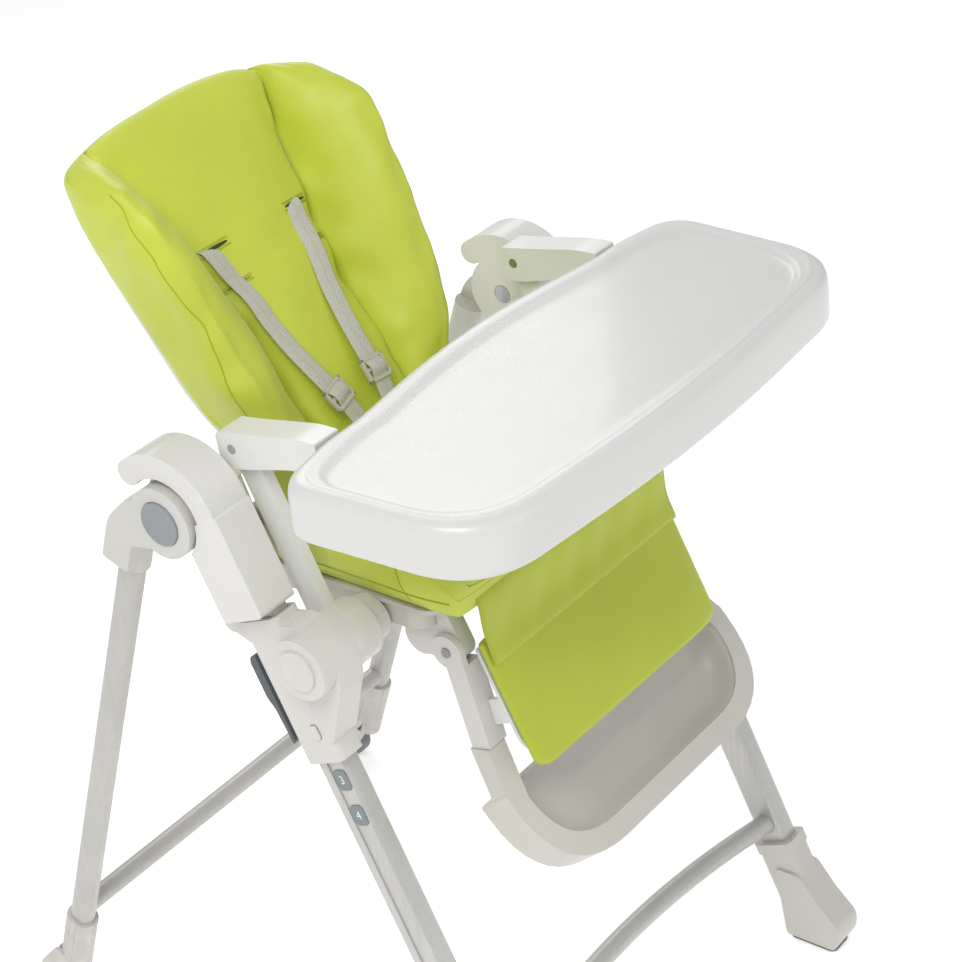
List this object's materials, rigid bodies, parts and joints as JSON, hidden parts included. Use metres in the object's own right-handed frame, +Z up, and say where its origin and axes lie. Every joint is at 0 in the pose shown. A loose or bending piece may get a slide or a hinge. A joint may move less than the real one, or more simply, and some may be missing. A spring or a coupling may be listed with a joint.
{
  "type": "baby high chair",
  "caption": "Folding baby high chair with sliding padded seat, reclining back, removable tray, adjustable leg rest and rear wheels.",
  "frame": {"origin": "on the floor under the middle of the chair, midway between the foremost point of the front feet and the rearmost point of the wheels", "axes": "+Z up, -Y towards the front of the chair (the tray), +X towards the seated child's left hand"},
  "size_m": [0.6068, 0.7519, 1.0041],
  "materials": {
    "leg_profile": "satin",
    "painted_tube": "satin",
    "steel_pin": "brushed",
    "grey_plastic": "fine texture",
    "white_plastic": "gloss",
    "beige_plastic": "satin",
    "dark_plastic": "fine texture",
    "wheel_plastic": "satin",
    "button_blue": "satin",
    "badge_grey": "satin",
    "foot_rubber": "matte",
    "lime_seat": "satin grain",
    "lime_calf": "satin grain",
    "webbing": "ribbed weave",
    "harness_plastic": "satin",
    "clear_cover": "clear"
  },
  "bodies": {
    "front_frame": {"front_leg_right": "leg_profile", "front_leg_left": "leg_profile", "leg_head_right": "grey_plastic", "leg_head_left": "grey_plastic", "front_crossbar": "painted_tube", "front_foot_right": "grey_plastic", "front_foot_left": "grey_plastic", "front_foot_pads": "foot_rubber", "hub_axles": "steel_pin", "foot_screws": "steel_pin", "height_badges": "badge_grey"},
    "rear_frame": {"rear_leg_right": "painted_tube", "rear_leg_left": "painted_tube", "rear_hub_right": "grey_plastic", "rear_hub_left": "grey_plastic", "rear_crossbar": "painted_tube", "rear_foot_right": "grey_plastic", "rear_foot_left": "grey_plastic", "wheel_axles": "steel_pin"},
    "carriage": {"slider_right": "grey_plastic", "slider_left": "grey_plastic", "slider_barrel_right": "grey_plastic", "slider_barrel_left": "grey_plastic", "seat_base": "beige_plastic", "carriage_tube": "painted_tube", "seat_cushion": "lime_seat", "seat_wings": "lime_seat", "arm_struts": "white_plastic", "knee_brackets": "grey_plastic", "backrest_hinge_pin": "steel_pin", "recline_quadrants": "steel_pin", "carriage_pivots": "steel_pin", "waist_straps": "webbing", "harness_buckle": "harness_plastic"},
    "arms": {"armrest_right": "white_plastic", "armrest_left": "white_plastic"},
    "tray": {"tray": "white_plastic"},
    "tray_latch": {"tray_latch": "dark_plastic"},
    "tray_cover": {"tray_cover": "clear_cover"},
    "backrest": {"backrest_shell": "white_plastic", "backrest_pad": "lime_seat", "backrest_wings": "lime_seat", "shoulder_straps": "webbing", "strap_adjusters": "harness_plastic"},
    "recline_handle": {"recline_handle": "dark_plastic"},
    "legrest": {"legrest_arms": "grey_plastic", "legrest_panel": "white_plastic", "legrest_pad": "lime_calf"},
    "footrest": {"footrest": "beige_plastic"},
    "rear_wheel_right": {"rear_wheel_right": "wheel_plastic"},
    "rear_wheel_left": {"rear_wheel_left": "wheel_plastic"},
    "hub_button_right": {"hub_button_right": "button_blue"},
    "hub_button_left": {"hub_button_left": "button_blue"},
    "height_lever_right": {"height_lever_right": "dark_plastic"},
    "height_lever_left": {"height_lever_left": "dark_plastic"},
    "lock_button_right": {"lock_button_right": "grey_plastic"},
    "lock_button_left": {"lock_button_left": "grey_plastic"},
    "legrest_button_right": {"legrest_button_right": "dark_plastic"},
    "legrest_button_left": {"legrest_button_left": "dark_plastic"}
  },
  "joints": [
    {"name": "frame_fold", "type": "hinge", "parent": "front_frame", "child": "rear_frame", "pos_m": [0, 0.017, 0.724], "axis": [-1, 0, 0], "range_deg": [0, 40]},
    {"name": "wheel_spin_right", "type": "hinge", "parent": "rear_frame", "child": "rear_wheel_right", "pos_m": [-0.256, 0.346, 0.024], "axis": [1, 0, 0], "continuous": true},
    {"name": "fold_button_press_right", "type": "slide", "parent": "rear_frame", "child": "hub_button_right", "axis": [1, 0, 0], "range_m": [0, 0.0035], "stiffness_N_per_m": 600},
    {"name": "wheel_spin_left", "type": "hinge", "parent": "rear_frame", "child": "rear_wheel_left", "pos_m": [0.256, 0.346, 0.024], "axis": [1, 0, 0], "continuous": true},
    {"name": "fold_button_press_left", "type": "slide", "parent": "rear_frame", "child": "hub_button_left", "axis": [-1, 0, 0], "range_m": [0, 0.0035], "stiffness_N_per_m": 600},
    {"name": "seat_height", "type": "slide", "parent": "front_frame", "child": "carriage", "axis": [0, -0.3923, -0.9198], "range_m": [0, 0.114]},
    {"name": "height_lever_squeeze_right", "type": "slide", "parent": "carriage", "child": "height_lever_right", "axis": [0, 0.3923, 0.9198], "range_m": [0, 0.008], "stiffness_N_per_m": 500},
    {"name": "lock_button_press_right", "type": "slide", "parent": "carriage", "child": "lock_button_right", "axis": [1, 0, 0], "range_m": [0, 0.002], "stiffness_N_per_m": 600},
    {"name": "height_lever_squeeze_left", "type": "slide", "parent": "carriage", "child": "height_lever_left", "axis": [0, 0.3923, 0.9198], "range_m": [0, 0.008], "stiffness_N_per_m": 500},
    {"name": "lock_button_press_left", "type": "slide", "parent": "carriage", "child": "lock_button_left", "axis": [-1, 0, 0], "range_m": [0, 0.002], "stiffness_N_per_m": 600},
    {"name": "arm_lift", "type": "hinge", "parent": "carriage", "child": "arms", "pos_m": [0, -0.03068, 0.78561], "axis": [-1, 0, 0], "range_deg": [0, 60]},
    {"name": "tray_slide", "type": "slide", "parent": "arms", "child": "tray", "axis": [0, -1, 0], "range_m": [0, 0.09]},
    {"name": "tray_latch_pull", "type": "slide", "parent": "tray", "child": "tray_latch", "axis": [0, -1, 0], "range_m": [0, 0.008], "stiffness_N_per_m": 500},
    {"name": "cover_lift", "type": "slide", "parent": "tray", "child": "tray_cover", "axis": [0, 0, 1], "range_m": [0, 0.12]},
    {"name": "backrest_recline", "type": "hinge", "parent": "carriage", "child": "backrest", "pos_m": [0, 0.05, 0.645], "axis": [-1, 0, 0], "range_deg": [-15, 20]},
    {"name": "recline_handle_lift", "type": "slide", "parent": "backrest", "child": "recline_handle", "axis": [0, 0.5736, 0.8192], "range_m": [0, 0.008], "stiffness_N_per_m": 800},
    {"name": "legrest_raise", "type": "hinge", "parent": "carriage", "child": "legrest", "pos_m": [0, -0.2, 0.584], "axis": [-1, 0, 0], "range_deg": [-10, 45]},
    {"name": "legrest_button_press_right", "type": "slide", "parent": "legrest", "child": "legrest_button_right", "axis": [0, -0.9703, 0.2419], "range_m": [0, 0.002], "stiffness_N_per_m": 600},
    {"name": "legrest_button_press_left", "type": "slide", "parent": "legrest", "child": "legrest_button_left", "axis": [0, -0.9703, 0.2419], "range_m": [0, 0.002], "stiffness_N_per_m": 600},
    {"name": "footrest_extend", "type": "slide", "parent": "legrest", "child": "footrest", "axis": [0, -0.2419, -0.9703], "range_m": [0, 0.04]}
  ]
}
